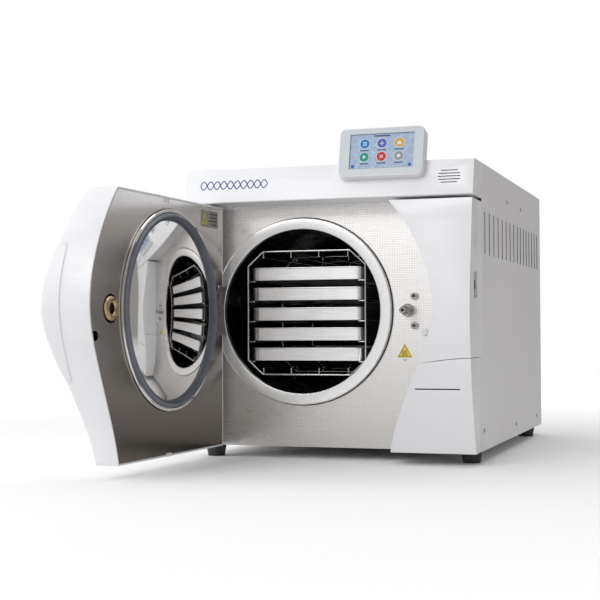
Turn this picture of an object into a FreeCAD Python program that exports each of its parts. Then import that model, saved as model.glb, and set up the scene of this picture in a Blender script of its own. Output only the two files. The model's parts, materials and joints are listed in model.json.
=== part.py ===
import FreeCAD, Part
import math
import os

# Benchtop autoclave, millimetres. X is across the front, Y runs from the front to the back, Z is up.
# X = 0 is the cabinet's centre line and Y = 0 the front edge of the side panels. Heights are given above
# the cabinet's underside: save() lifts every solid by the height of the feet, so the bench is Z = 0.
# The door is drawn closed and saved open, as far as it stands at rest.

V = FreeCAD.Vector

# Cabinet
WIDTH = 446.0
DEPTH = 558.0
HEIGHT = 422.0
HALF = WIDTH / 2
SHEET = 1.2
PLASTIC = 3.0
FOOT_H = 18.0
FOOT_PLACES = [(-203.0, 12.0), (203.0, 12.0), (-203.0, 500.0), (203.0, 500.0)]
PLATE_Y = -3.0
PLATE_T = 1.5
PLATE_RIGHT = 205.0

# Header with its sloped front, and the display on it
HEADER_Z = 369.0
HEADER_LIP_Y = -65.0
HEADER_TOP_Y = -51.0
POD_LEFT, POD_RIGHT = 22.5, 151.5
POD_H = 76.5
POD_T = 21.0
POD_FOOT = (-72.0, 399.5)
POD_TILT = 13.4
POD_ROUND = 10.0
SCREEN = (40.6, 136.8, 11.8, 65.6)
SCREEN_INSET = 1.0

# Column beside the door: front profile (Y, Z) and the curved edge (X, Z) that the door follows
COLUMN_TOP = 364.0
COLUMN_PROFILE = [(-53, 0), (-74, 68), (-88, 136), (-92, 215), (-80, 300), (-70, COLUMN_TOP)]
COLUMN_EDGE = [(97, 0), (122, 72), (146.5, 128), (169, 207), (154.5, 278), (98.5, 366)]
COVER_SEAM = [(100, 122), (146, 128.5), (191.5, 134.6), (HALF + 5, 136.8)]
COVER_AXIS = (221.5, -18.5)
SEAM_GAP = 0.8
PAPER_SLOT = (141.0, 206.0, 93.0)
ROLL_Z = 99.0

# Chamber
CHAMBER_X, CHAMBER_Z = -54.0, 206.0
BORE_R = 125.0
VESSEL_R = 128.0
FLANGE_R = 142.0
FLANGE_Y = -12.0
VESSEL_END = 410.0

# Door, closed
DOOR_OPEN = 92.57
DOOR_PROFILE = [(-54, 1), (-72, 114), (-86, 205), (-77.5, 294), (-64, 366)]
DOOR_Z = (1.0, 366.0)
BOSS_PROFILE = [(-77, 104), (-92, 150), (-96.5, 205), (-92, 255), (-79, 296)]
BOSS_X = (-150.0, 112.0)
DOOR_GAP = 4.0
PANEL_Y = -20.0
DOME_R = 412.0
PLATE_BACK_Y = -28.0
PLATE_RIM_R = 142.2
GROOVE = (128.0, 139.0)
HINGE_X, HINGE_Y = -202.5, -46.3
HINGE_PIN_R = 6.0
NOTCH_Z = (170.0, 246.0)
RUNNING = 0.05

# Lock
LOCK_X, LOCK_Z = 113.0, 206.0
SHAFT_R = 5.0
SWITCH_X, SWITCH_Z = 138.5, 173.0

# Rack and trays
RACK_X, RACK_Z = -52.5, 204.0
RACK_HALF = 95.0
RACK_CORNERS = [(95, 73), (70.5, 95), (-70.5, 95), (-95, 73), (-95, -73), (-70.5, -95), (70.5, -95), (95, -73)]
RACK_Y = (8.0, 318.0)
WIRE_R = 1.5
RAIL_R = 1.25
PRONG_R = 1.1
WELD = 0.28
RAIL_DROP = 0.6
TRAY_BOTTOMS = [254.6, 223.6, 192.6, 161.6, 130.7]
TRAY_W, TRAY_L, TRAY_H, TRAY_T = 184.0, 290.0, 19.4, 0.8
TRAY_Y = 10.0


# ---------------------------------------------------------------- helpers

def box(x0, x1, y0, y1, z0, z1):
    return Part.makeBox(x1 - x0, y1 - y0, z1 - z0, V(x0, y0, z0))


def rod(start, end, radius):
    a, b = V(*start), V(*end)
    return Part.makeCylinder(radius, (b - a).Length, a, b - a)


def disc(x, z, radius, y0, y1):
    return rod((x, y0, z), (x, y1, z), radius)


def tube_y(x, z, outer, inner, y0, y1):
    return disc(x, z, outer, y0, y1).cut(disc(x, z, inner, y0 - 1, y1 + 1))


def polygon(points):
    return Part.Face(Part.makePolygon(points + points[:1]))


def prism_xz(points, y0, y1):
    return polygon([V(x, y0, z) for x, z in points]).extrude(V(0, y1 - y0, 0))


def prism_yz(points, x0, x1):
    return polygon([V(x0, y, z) for y, z in points]).extrude(V(x1 - x0, 0, 0))


def prism_xy(points, z0, z1):
    return polygon([V(x, y, z0) for x, y in points]).extrude(V(0, 0, z1 - z0))


def curve(points):
    spline = Part.BSplineCurve()
    spline.interpolate(points)
    return spline.toShape()


def edged_face(points, corners):
    """A face bounded by one smooth curve and then straight lines through the corners."""
    lines = Part.makePolygon([points[-1]] + corners + [points[0]])
    return Part.Face(Part.Wire([curve(points)] + lines.Edges))


def revolved(profile, x, z):
    """Turns a closed (radius, Y) profile about the line along Y through (x, z)."""
    return polygon([V(x + r, y, z) for r, y in profile]).revolve(V(x, 0, z), V(0, 1, 0), 360)


def rounded_slab(x0, x1, z0, z1, y0, y1, radius):
    slab = box(x0, x1, y0, y1, z0, z1)
    upright = [e for e in slab.Edges if abs(e.Vertexes[0].Y - e.Vertexes[-1].Y) > 0.5 * (y1 - y0)]
    return slab.makeFillet(radius, upright)


def rounded_tub(x0, x1, y0, y1, z0, z1, radius):
    tub = box(x0, x1, y0, y1, z0, z1)
    upright = [e for e in tub.Edges if abs(e.Vertexes[0].Z - e.Vertexes[-1].Z) > 0.5 * (z1 - z0)]
    return tub.makeFillet(radius, upright)


def fuse_all(shapes):
    return shapes[0].multiFuse(shapes[1:]).removeSplitter()


def save(name, shape):
    shape.translate(V(0, 0, FOOT_H))
    shape.exportStep("parts/" + name + ".step")
    kind = "valid" if shape.isValid() else "INVALID"
    print(name, kind, len(shape.Solids), "solids", round(shape.Volume / 1000, 1), "cm3")


def save_on_door(name, shape):
    save(name, shape.rotate(V(HINGE_X, HINGE_Y, 0), V(0, 0, 1), -DOOR_OPEN))


# ---------------------------------------------------------------- cabinet

def louvre(side, y, z0=289.0, z1=351.0):
    """One pressed louvre: a slot, and the slanted blade that covers it."""
    slot = box(side * HALF - 3, side * HALF + 3, y + 0.5, y + 6.5, z0, z1)
    outline = [(HALF - 0.8, y + 8.5), (HALF, y + 8.5), (HALF + 1.8, y), (HALF + 1.0, y)]
    blade = prism_xy([(side * x, v) for x, v in outline], z0 - 0.5, z1 + 0.5)
    return slot, blade


def side_panel(side):
    inner, outer = sorted((side * (HALF - SHEET), side * HALF))
    panel = box(inner, outer, 0, DEPTH, 0, HEIGHT - SHEET)
    blades = []
    for first, pitch in ((20.0, 35.6), (305.0, 30.3)):
        for n in range(8):
            slot, blade = louvre(side, first + n * pitch)
            panel = panel.cut(slot)
            blades.append(blade)
    return fuse_all([panel] + blades)


def base_chassis():
    tray = box(-220.5, 220.5, 0, 556, 0, 28)
    return tray.cut(box(-219, 219, 1.5, 554.5, 1.5, 40))


def front_plate():
    plate = box(-HALF + SHEET, PLATE_RIGHT, PLATE_Y, PLATE_Y + PLATE_T, 0, HEADER_Z)
    holes = [
        disc(CHAMBER_X, CHAMBER_Z, 134.2, -10, 10),
        disc(LOCK_X, LOCK_Z, 7.0, -10, 10),
        disc(SWITCH_X, SWITCH_Z, 5.0 + RUNNING, -10, 10),
    ]
    return plate.cut(fuse_all(holes))


def top_cover():
    cover = box(-HALF, HALF, 0, DEPTH, HEIGHT - SHEET, HEIGHT)
    return cover.cut(rod((-150, 470, 400), (-150, 470, 440), 21))


def rear_panel():
    panel = box(-HALF + SHEET, HALF - SHEET, DEPTH - 1.5, DEPTH, 0, HEIGHT - SHEET)
    cuts = [disc(150, 230, 44, 540, 570), disc(-54, 320, 10, 540, 570)]
    cuts += [disc(-150, z, 7, 540, 570) for z in (50, 85)]
    cuts += [box(136, 164, 540, 570, 50, 72), box(98, 120, 540, 570, 46, 76)]
    cuts += [box(-200, -130, 540, 570, z, z + 4) for z in range(300, 370, 12)]
    for cut in cuts:
        panel = panel.cut(cut)
    return panel


def rubber_feet():
    feet = [Part.makeCone(13, 16, FOOT_H, V(x, y, -FOOT_H)) for x, y in FOOT_PLACES]
    return Part.makeCompound(feet)


def panel_screws():
    """Pan heads on both side panels, clear of the louvres."""
    heads = []
    for side in (-1, 1):
        for y, z in ((210, 383), (340, 383), (6.5, 29.5), (500, 20), (280, 20)):
            heads.append(rod((side * HALF, y, z), (side * (HALF + 1.4), y, z), 3.0))
    return Part.makeCompound(heads)


# ---------------------------------------------------------------- header, display

def header_profile(wall):
    lip = (HEADER_LIP_Y + wall, HEADER_Z + wall)
    top = (HEADER_TOP_Y + wall, HEIGHT - wall)
    back = 0.0 if wall == 0 else 1.0
    return [lip, top, (back, HEIGHT - wall), (back, HEADER_Z + wall)]


def speaker_slots():
    slots = []
    for n, length in enumerate((24, 31, 32.5, 31, 25)):
        z = 396.7 + (n - 2) * 4.4
        slots.append(box(187.5 - length / 2, 187.5 + length / 2, -70, -40, z - 0.65, z + 0.65))
    return slots


def header_fascia():
    shell = prism_yz(header_profile(0), -HALF, HALF)
    front = [e for e in shell.Edges if abs(e.CenterOfMass.x) < 1 and e.CenterOfMass.y < -40]
    shell = shell.makeFillet(2.0, front)
    shell = shell.cut(prism_yz(header_profile(PLASTIC), -HALF + PLASTIC, HALF - PLASTIC))
    for slot in speaker_slots():
        shell = shell.cut(slot)
    return shell.cut(tilted(rounded_slab(POD_LEFT, POD_RIGHT, 0, POD_H, 0, POD_T, POD_ROUND)))


def tilted(shape):
    """Leans a shape, drawn upright with its front foot at Y = 0 and Z = 0, back onto the header."""
    shape = shape.rotate(V(0, 0, 0), V(1, 0, 0), -POD_TILT)
    shape.translate(V(0, *POD_FOOT))
    return shape


def display_housing():
    body = rounded_slab(POD_LEFT, POD_RIGHT, 0, POD_H, 0, POD_T, POD_ROUND)
    body = body.makeFillet(3.0, [e for e in body.Edges if e.CenterOfMass.y < 0.01])
    x0, x1, z0, z1 = SCREEN
    body = body.cut(box(x0, x1, -1, 3, z0, z1))
    return tilted(body.cut(box(x0 - 8, x1 + 6, 3, POD_T - 2.5, z0 - 6, z1 + 4)))


def touch_glass():
    x0, x1, z0, z1 = SCREEN
    return tilted(box(x0, x1, SCREEN_INSET, 2.0, z0, z1))


def lcd_module():
    x0, x1, z0, z1 = SCREEN
    return tilted(box(x0, x1, 2.0, 9.0, z0, z1))


# ---------------------------------------------------------------- column, printer

def column_solid(wall):
    """The column's outer form, or with a wall the space inside it."""
    profile = [V(-200, y + wall, z) for y, z in COLUMN_PROFILE]
    corners = [V(-200, 10, COLUMN_TOP), V(-200, 10, 0)]
    body = edged_face(profile, corners).extrude(V(600, 0, 0))
    edge = [V(x + wall, -150, z) for x, z in COLUMN_EDGE]
    right = HALF - wall
    outline = edged_face(edge, [V(right, -150, 366), V(right, -150, 0)])
    body = body.common(outline.extrude(V(0, 300, 0)))
    bottom = wall if wall else 0
    top = COLUMN_TOP - wall
    return body.common(box(0, 400, -150, 0, bottom, top))


def column_shell():
    shell = column_solid(0).cut(column_solid(PLASTIC))
    inside = box(0, HALF - PLASTIC, -PLASTIC - 0.2, 5, PLASTIC, COLUMN_TOP - PLASTIC)
    shell = shell.cut(inside)
    return shell.cut(box(0, PLATE_RIGHT + 0.5, PLATE_Y, 5, -5, 400))


def cover_region(grow):
    """The space of the service cover: below its curved seam and in front of its hinge line."""
    seam = [V(x, -150, z + grow) for x, z in COVER_SEAM]
    below = edged_face(seam, [V(HALF + 5, -150, -5), V(50, -150, -5), V(50, -150, 115)])
    region = below.extrude(V(0, 300, 0))
    region = region.common(box(0, 400, -150, COVER_AXIS[1] + 1.9 * (grow > 0), -10, 200))
    reach = PLATE_Y - 0.6 + grow
    return region.fuse(below.extrude(V(0, 150 + reach, 0)).common(box(0, 200, -150, reach, -10, 200)))


def pivot(z0, z1, radius):
    x, y = COVER_AXIS
    return rod((x, y, z0), (x, y, z1), radius)


def column_fascia():
    shell = column_shell().cut(cover_region(SEAM_GAP))
    socket = box(HALF - 6, HALF - 0.2, -23, -14, 138.0, 143.0)
    tab = box(HALF - 6, HALF - 0.2, -22, -3, 0, 1.6)
    shell = shell.cut(box(HALF - 4, HALF + 1, -62, -38, 222, 260))
    shell = fuse_all([shell, socket, tab])
    recess = box(HALF - 9, HALF - PLASTIC, -64, -36, 220, 262)
    recess = recess.cut(box(HALF - 7.5, HALF, -62, -38, 222, 260))
    shell = fuse_all([shell, recess])
    shell = shell.cut(oval_dent())
    return shell.cut(pivot(-1, 142, 1.0 + RUNNING))


def oval_dent():
    """A shallow finger mark in the column's side, above the data recess."""
    ends = [rod((HALF - 1.2, -48, z), (HALF + 2, -48, z), 6.0) for z in (301, 313)]
    middle = box(HALF - 1.2, HALF + 2, -54, -42, 301, 313)
    return fuse_all(ends + [middle])


def printer_cover():
    cover = column_shell().common(cover_region(0))
    corner = box(HALF - 9, HALF + 1, -30, -8, -1, 2.2)
    cover = cover.cut(corner)
    x0, x1, z = PAPER_SLOT
    cover = cover.cut(box(x0, x1, -150, -40, z - 0.9, z + 0.9))
    knuckles = [box(HALF - 6, HALF - 0.2, -22.5, -18.6, 2.4, 8), box(HALF - 6, HALF - 0.2, -22.5, -18.6, 126, 134)]
    return fuse_all([cover] + knuckles + [pivot(0.3, 8, 1.0), pivot(126, 141, 1.0)])


def printer_unit():
    z = ROLL_Z
    body = box(158.5, 214, -58, PLATE_Y, 68, 119.5)
    bay = rod((161, -30, z), (211, -30, z), 17)
    mouth = box(161, 211, -60, -30, z - 11, z + 11)
    body = body.cut(bay).cut(mouth)
    return fuse_all([body, rod((158.5, -30, z), (163, -30, z), 4), rod((209, -30, z), (214, -30, z), 4)])


def paper_roll():
    roll = rod((163.5, -30, ROLL_Z), (208.5, -30, ROLL_Z), 15)
    return roll.cut(rod((140, -30, ROLL_Z), (220, -30, ROLL_Z), 4.5))


# ---------------------------------------------------------------- chamber

def chamber_vessel():
    wall = VESSEL_R - BORE_R
    shell = tube_y(CHAMBER_X, CHAMBER_Z, VESSEL_R, BORE_R, PLATE_Y, VESSEL_END)
    dish = [(VESSEL_R, 0), (118, 22), (90, 36), (50, 44), (0, 46)]
    outer = [(r, VESSEL_END + y) for r, y in dish]
    inner = [(max(r - wall, 0), VESSEL_END + y - (wall if y else 0)) for r, y in dish]
    head = revolved(outer + inner[::-1], CHAMBER_X, CHAMBER_Z)
    return fuse_all([shell, head])


def chamber_flange():
    face = tube_y(CHAMBER_X, CHAMBER_Z, FLANGE_R, BORE_R, FLANGE_Y, PLATE_Y)
    round_edges = [e for e in face.Edges if abs(e.BoundBox.YMin - FLANGE_Y) < 0.01 and e.BoundBox.YLength < 0.01]
    face = face.makeFillet(1.5, round_edges)
    neck = tube_y(CHAMBER_X, CHAMBER_Z, 134, VESSEL_R, PLATE_Y, 16)
    return fuse_all([face, neck])


def chamber_insulation():
    return tube_y(CHAMBER_X, CHAMBER_Z, 150, 131.5, 22, 400)


def heater_band():
    band = tube_y(CHAMBER_X, CHAMBER_Z, 130.5, VESSEL_R, 140, 300)
    return band.cut(box(CHAMBER_X - 4, CHAMBER_X + 4, 130, 310, 60, CHAMBER_Z))


# ---------------------------------------------------------------- works inside the cabinet

def water_tank(x0, x1):
    return box(x0, x1, 60, 540, 378, 418).cut(box(x0 + 3, x1 - 3, 63, 537, 381, 415))


def clean_water_tank():
    tank = water_tank(-215, -57).cut(rod((-150, 470, 410), (-150, 470, 420), 17))
    neck = rod((-150, 470, 415), (-150, 470, 423.5), 20).cut(rod((-150, 470, 410), (-150, 470, 430), 17))
    return fuse_all([tank, neck])


def used_water_tank():
    return water_tank(-51, 107)


def filler_lid():
    lid = rounded_tub(-182, -118, 438, 497.5, 424.0, 428.0, 8)
    barrel = rod((-168, 502, 426), (-132, 502, 426), 2.0)
    pins = rod((-174, 502, 426), (-126, 502, 426), 1.0)
    link = box(-168, -132, 497, 502, 425, 427)
    return fuse_all([lid, barrel, link, pins])


def lid_hinge():
    ears = []
    for x in (-174, -129):
        ear = box(x, x + 3, 498.5, 505.5, HEIGHT, 428).cut(rod((x - 1, 502, 426), (x + 4, 502, 426), 1.0 + RUNNING))
        ears.append(ear)
    return Part.makeCompound(ears)


def steam_generator():
    body = rod((160, 230, 40), (160, 230, 190), 36)
    return fuse_all([body, rod((160, 230, 190), (160, 230, 200), 12), box(130, 190, 205, 255, 28, 40)])


def vacuum_pump():
    motor = rod((155, 300, 78), (155, 430, 78), 42)
    head = box(118, 192, 430, 488, 40, 112)
    feet = box(120, 190, 310, 420, 28, 44)
    return fuse_all([motor, head, feet])


def condenser():
    """Finned block in front of the cooling fan."""
    fins = [box(102, 198, 498, 528, z, z + 1.2) for z in range(184, 278, 6)]
    ends = [box(100, 104, 496, 530, 180, 282), box(196, 200, 496, 530, 180, 282)]
    return fuse_all(fins + ends)


def fan_housing():
    frame = box(102, 198, 531, DEPTH - 1.5, 182, 278).cut(disc(150, 230, 44, 520, 570))
    struts = [box(106, 194, 553, 556, 228, 232), box(148, 152, 553, 556, 186, 274)]
    return fuse_all([frame, disc(150, 230, 16, 549, 556)] + struts)


def fan_rotor():
    hub = disc(150, 230, 15, 534, 548)
    blades = []
    for n in range(7):
        blade = box(150 + 12, 150 + 42, 540, 541.6, 222, 238)
        blade = blade.rotate(V(150, 541, 230), V(1, 0, 0), 28)
        blades.append(blade.rotate(V(150, 541, 230), V(0, 1, 0), n * 360 / 7))
    return fuse_all([hub] + blades)


def valve_block():
    block = box(-200, -120, 430, 500, 40, 62)
    coils = [box(x, x + 18, 440, 490, 62, 96) for x in (-196, -169, -142)]
    return fuse_all([block] + coils)


def safety_valve():
    stem = disc(-54, 320, 7, 470, 552)
    outlet = disc(-54, 320, 9, 552, 574)
    elbow = rod((-54, 476, 320), (-54, 476, 240), 7)
    return fuse_all([stem, outlet, elbow, disc(-54, 240, 7, 452, 483)])


def steam_pipes():
    route = [(160, 230, 200), (160, 230, 216), (160, 484, 216), (-10, 484, 216), (-10, 453, 216)]
    pieces = [rod(a, b, 4) for a, b in zip(route, route[1:])]
    pieces += [Part.makeSphere(4, V(*p)) for p in route[1:-1]]
    return fuse_all(pieces)


def main_circuit_board():
    board = box(205, 206.6, 60, 300, 190, 360)
    chips = [box(200, 205, 80 + 34 * n, 100 + 34 * n, 220 + 20 * (n % 3), 240 + 20 * (n % 3)) for n in range(6)]
    posts = [rod((206.6, y, z), (HALF - SHEET, y, z), 3) for y in (68, 292) for z in (198, 352)]
    return fuse_all([board] + chips + posts)


def power_supply():
    return box(126, 200, 330, 480, 296, 366)


def air_filter():
    return fuse_all([rod((-196, 60, 62), (-196, 110, 62), 20), rod((-196, 110, 62), (-196, 124, 62), 8)])


def lock_gearmotor():
    gearbox = box(100, 140, 30, 62, 186, 226)
    motor = disc(120, 206, 17, 62, 120)
    return fuse_all([gearbox, motor]).cut(disc(LOCK_X, LOCK_Z, SHAFT_R + RUNNING, 0, 56))


def mains_inlet():
    """Mains inlet and the frame of the rocker switch beside it."""
    inlet = box(136, 164, 528, DEPTH, 50, 72).cut(box(140, 160, 540, DEPTH + 5, 54, 68))
    rim = box(132, 168, DEPTH, DEPTH + 1.5, 46, 76).cut(box(140, 160, 550, 570, 54, 68))
    prongs = [box(x - 1, x + 1, 540, 555, 59, 65) for x in (144, 150, 156)]
    frame = box(95, 123, DEPTH, DEPTH + 1.5, 43, 79).cut(box(99, 119, 550, 570, 47, 75))
    well = box(98, 120, 536, DEPTH, 46, 76).cut(box(99, 119, 538, 570, 47, 75))
    return Part.makeCompound([fuse_all([inlet, rim] + prongs), fuse_all([frame, well])])


def mains_rocker():
    """Rocker seesaw, tilted to its off side about the pin in its well."""
    body = box(100, 118, 550, 560, 49, 73)
    body = body.common(rod((90, 545, 61), (130, 545, 61), 16.2))
    body = body.rotate(V(109, 550, 61), V(1, 0, 0), 6)
    return fuse_all([body, rod((99.4, 550, 61), (118.6, 550, 61), 2)])


def drain_ports():
    ports = []
    for z in (50, 85):
        nut = disc(-150, z, 10, DEPTH, DEPTH + 4)
        barb = disc(-150, z, 6, 540, DEPTH + 20)
        ports.append(fuse_all([nut, barb]).cut(disc(-150, z, 4, 530, DEPTH + 30)))
    return Part.makeCompound(ports)


# ---------------------------------------------------------------- lock and switch

def spindle_bush():
    collar = disc(LOCK_X, LOCK_Z, 9.75, FLANGE_Y, PLATE_Y)
    neck = disc(LOCK_X, LOCK_Z, 7.0, PLATE_Y, 14)
    return fuse_all([collar, neck]).cut(disc(LOCK_X, LOCK_Z, SHAFT_R + RUNNING, -20, 20))


def lock_spindle():
    steps = [disc(LOCK_X, LOCK_Z, SHAFT_R, -14, 54), disc(LOCK_X, LOCK_Z, 6.3, -27, -12.3)]
    tip = disc(LOCK_X, LOCK_Z, 5.3, -42, -27)
    tip = tip.makeChamfer(0.8, [e for e in tip.Edges if e.BoundBox.YMax < -41.9])
    flat = box(LOCK_X + 4.2, LOCK_X + 8, 30, 60, LOCK_Z - 8, LOCK_Z + 8)
    return fuse_all(steps + [tip]).cut(disc(LOCK_X, LOCK_Z, 2.5, -45, -35)).cut(flat)


def lock_screws():
    screws = []
    for z in (227.3, 183.4):
        head = disc(122, z, 5.35, PLATE_Y - 6, PLATE_Y)
        head = head.makeFillet(0.6, [e for e in head.Edges if e.BoundBox.YMax < PLATE_Y - 5.9])
        screws.append(head.cut(disc(122, z, 2.6, PLATE_Y - 8, PLATE_Y - 2.5)))
    return Part.makeCompound(screws)


def door_switch_pin():
    pin = disc(SWITCH_X, SWITCH_Z, 5.0, -12, 10)
    return pin.makeFillet(2.0, [e for e in pin.Edges if e.BoundBox.YMax < -11.9])


def switch_body():
    body = box(128, 150, 14.5, 34, 162, 184)
    guide = tube_y(SWITCH_X, SWITCH_Z, 8, 5.0 + RUNNING, PLATE_Y + PLATE_T, 4)
    arms = [box(128, 131, PLATE_Y + PLATE_T, 14.5, 168, 178), box(146, 149, PLATE_Y + PLATE_T, 14.5, 168, 178)]
    return fuse_all([body, guide] + arms)


def warning_label():
    return prism_xz([(95.2, 136), (117.6, 136), (106.4, 156.8)], PLATE_Y - 0.3, PLATE_Y)


# ---------------------------------------------------------------- hinge and door

def hinge_bracket():
    base = box(-221.5, -197.2, -9, PLATE_Y, *NOTCH_Z)
    ears = []
    for z in (171.5, 234.5):
        stem = box(HINGE_X - 9, HINGE_X + 6, HINGE_Y, -8, z, z + 10)
        ears.append(stem)
        ears.append(rod((HINGE_X, HINGE_Y, z), (HINGE_X, HINGE_Y, z + 10), 9))
    bracket = fuse_all([base] + ears)
    return bracket.cut(rod((HINGE_X, HINGE_Y, 160), (HINGE_X, HINGE_Y, 260), HINGE_PIN_R))


def hinge_pin():
    return rod((HINGE_X, HINGE_Y, 171.5), (HINGE_X, HINGE_Y, 244.5), HINGE_PIN_R)


def door_edge(inset, y):
    """The free edge of the door: the column's edge, less the gap between them."""
    return [V(x - DOOR_GAP - inset, y, z) for x, z in COLUMN_EDGE]


def door_solid(wall):
    left = -HALF + wall
    outline = edged_face(door_edge(wall, -150), [V(left, -150, 370), V(left, -150, 0)])
    body = outline.extrude(V(0, 130, 0))
    profile = [V(-300, y + wall, z) for y, z in DOOR_PROFILE]
    face = edged_face(profile, [V(-300, PANEL_Y, DOOR_Z[1]), V(-300, PANEL_Y, DOOR_Z[0])])
    body = body.common(face.extrude(V(600, 0, 0)))
    return body.common(box(-300, 300, -150, PANEL_Y, DOOR_Z[0] + wall, DOOR_Z[1] - wall))


def grip_boss(wall):
    """Raised panel down the middle of the door's face, which the hand takes hold of."""
    left, right = BOSS_X
    profile = [V(left + wall, y + wall, z) for y, z in BOSS_PROFILE]
    face = edged_face(profile, [V(left + wall, -60, BOSS_PROFILE[-1][1]), V(left + wall, -60, BOSS_PROFILE[0][1])])
    boss = face.extrude(V(right - left - 2 * wall, 0, 0))
    return boss.common(box(-300, 300, -150, 0, BOSS_PROFILE[0][1] + wall, BOSS_PROFILE[-1][1] - wall))


def door_shell():
    outer = fuse_all([door_solid(0), grip_boss(0)])
    shell = outer.cut(door_solid(PLASTIC)).cut(grip_boss(PLASTIC))
    notch = box(-HALF - 3, -189, HINGE_Y - 18, 0, *NOTCH_Z)
    return shell.cut(notch)


def door_inner_panel():
    solid = door_solid(PLASTIC + 0.2).common(box(-300, 300, PANEL_Y - 1, PANEL_Y, 0, 400))
    solid = solid.cut(disc(CHAMBER_X, CHAMBER_Z, PLATE_RIM_R + 1, -40, 0))
    solid = solid.cut(disc(LOCK_X, LOCK_Z, 19, -40, 0))
    solid = solid.cut(box(-HALF, -189, -40, 0, *NOTCH_Z))
    latch = fuse_all([disc(150.5, 170.5, 6.5, -40, 0), box(150.5, 175, -40, 0, 164, 177)])
    return solid.cut(latch)


def door_arm():
    barrel = rod((HINGE_X, HINGE_Y, 183), (HINGE_X, HINGE_Y, 233), 9.5)
    beam = box(HINGE_X, 138, -50, -36, 188, 228)
    hub = disc(CHAMBER_X, CHAMBER_Z, 40, -44, PLATE_BACK_Y)
    ribs = [box(-160, 90, -58, -50, z, z + 5) for z in (188, 223)]
    arm = fuse_all([barrel, beam, hub] + ribs)
    arm = arm.cut(rod((HINGE_X, HINGE_Y, 170), (HINGE_X, HINGE_Y, 250), HINGE_PIN_R + RUNNING))
    return arm.cut(disc(LOCK_X, LOCK_Z, 12, -70, 0))


def pressure_plate():
    """Domed, mirror-bright plate with the gasket's groove near its rim."""
    crown_r, edge = 126.0, PANEL_Y + 2.0
    x, z = CHAMBER_X, CHAMBER_Z
    sink = math.sqrt(DOME_R ** 2 - crown_r ** 2)
    at = lambda r: V(x + r, edge - sink + math.sqrt(DOME_R ** 2 - r ** 2), z)
    dome = Part.Arc(at(0), at(crown_r / 2), at(crown_r)).toShape()
    inner, outer = GROOVE
    rim = [(inner, edge), (inner, -24), (outer, -24), (outer, -17.5), (PLATE_RIM_R, -17.5),
           (PLATE_RIM_R, PLATE_BACK_Y), (100, PLATE_BACK_Y), (94, -19), (50, -15), (41, -15),
           (41, PLATE_BACK_Y), (0, PLATE_BACK_Y)]
    points = [at(crown_r)] + [V(x + r, y, z) for r, y in rim] + [at(0)]
    face = Part.Face(Part.Wire([dome] + Part.makePolygon(points).Edges))
    return face.revolve(V(x, 0, z), V(0, 1, 0), 360)


def door_gasket():
    inner, outer = GROOVE
    middle = (inner + outer) / 2
    profile = [(inner + 0.3, -24), (inner + 0.3, -15), (inner + 2, -12.6), (middle, -12.3), (outer - 2, -12.9),
               (outer - 0.3, -15.5), (outer - 0.3, -24)]
    return revolved(profile, CHAMBER_X, CHAMBER_Z)


def lock_nut():
    """Rounded collar almost flush with the panel, on a barrel that runs back through the door arm."""
    collar = [(6.9, -50), (12, -50), (12, -22), (16.5, -22), (16.5, -19.6), (15.4, -17.2), (13.2, -16), (10.2, -16),
              (8.0, -17.2), (6.9, -19.6)]
    return revolved(collar, LOCK_X, LOCK_Z)


def door_label():
    return box(-204, -147, PANEL_Y, PANEL_Y + 0.25, 332, 357)


# ---------------------------------------------------------------- rack and trays

def mitred_side(a, b, y):
    """One side of a frame: a wire whose ends are cut on the slant where it meets its neighbours."""
    middle = V(RACK_X, y, RACK_Z)
    reach = 1.2
    start, end = middle + (a - middle) * reach, middle + (b - middle) * reach
    wedge = Part.Face(Part.makePolygon([middle, start, end, middle]))
    wedge.translate(V(0, -5, 0))
    along = (b - a).normalize()
    wire = rod(a - along * 3, b + along * 3, WIRE_R)
    return wire.common(wedge.extrude(V(0, 10, 0)))


def rack_frame(y):
    """One octagon of wire, side by side."""
    points = [V(RACK_X + x, y, RACK_Z + z) for x, z in RACK_CORNERS]
    return [mitred_side(a, b, y) for a, b in zip(points, points[1:] + points[:1])]


def frame_depths():
    return [RACK_Y[0], sum(RACK_Y) / 2, RACK_Y[1]]


def rack_rail(wall, rail):
    """A rail along the rack, with a short prong to each frame."""
    y0, y1 = RACK_Y
    pieces = [rod((rail[0], y0, rail[1]), (rail[0], y1, rail[1]), RAIL_R)]
    for y in frame_depths():
        pieces.append(rod((wall[0], y, wall[1]), (rail[0], y, rail[1]), PRONG_R))
        pieces.append(Part.makeSphere(RAIL_R + WELD, V(rail[0], y, rail[1])))
    return fuse_all(pieces)


def wall_at(height):
    """How far the frame's wire is from its middle at this height above or below it."""
    (x0, z0), (x1, z1) = (RACK_HALF, 73.0), (70.5, RACK_HALF)
    past = max(abs(height) - z0, 0)
    return x0 - past * (x0 - x1) / (z1 - z0)


def rack_frames():
    return Part.makeCompound([side for y in frame_depths() for side in rack_frame(y)])


def rack_rails():
    rails = []
    for bottom in TRAY_BOTTOMS:
        z = bottom - RAIL_R - RAIL_DROP
        for side in (-1, 1):
            wall = (RACK_X + side * wall_at(z - RACK_Z), z)
            rails.append(rack_rail(wall, (RACK_X + side * (RACK_HALF - 10), z)))
    for x in (-69.5, -24, 21, 67.6):
        for side in (-1, 1):
            rails.append(rack_rail((RACK_X + x, RACK_Z + side * RACK_HALF), (RACK_X + x, RACK_Z + side * 86)))
    frames = rack_frames().Solids
    return Part.makeCompound([main_solid(rail.cut(frames)) for rail in rails])


def main_solid(shape):
    """The largest of a cut's solids, without the chips on the wires' far side."""
    return max(shape.Solids, key=lambda solid: solid.Volume)


def tray(bottom):
    left = RACK_X - TRAY_W / 2
    back = TRAY_Y + TRAY_L
    t = TRAY_T
    body = rounded_tub(left, left + TRAY_W, TRAY_Y, back, bottom, bottom + TRAY_H, 14)
    return body.cut(rounded_tub(left + t, left + TRAY_W - t, TRAY_Y + t, back - t, bottom + t, bottom + 40, 14 - t))


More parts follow.
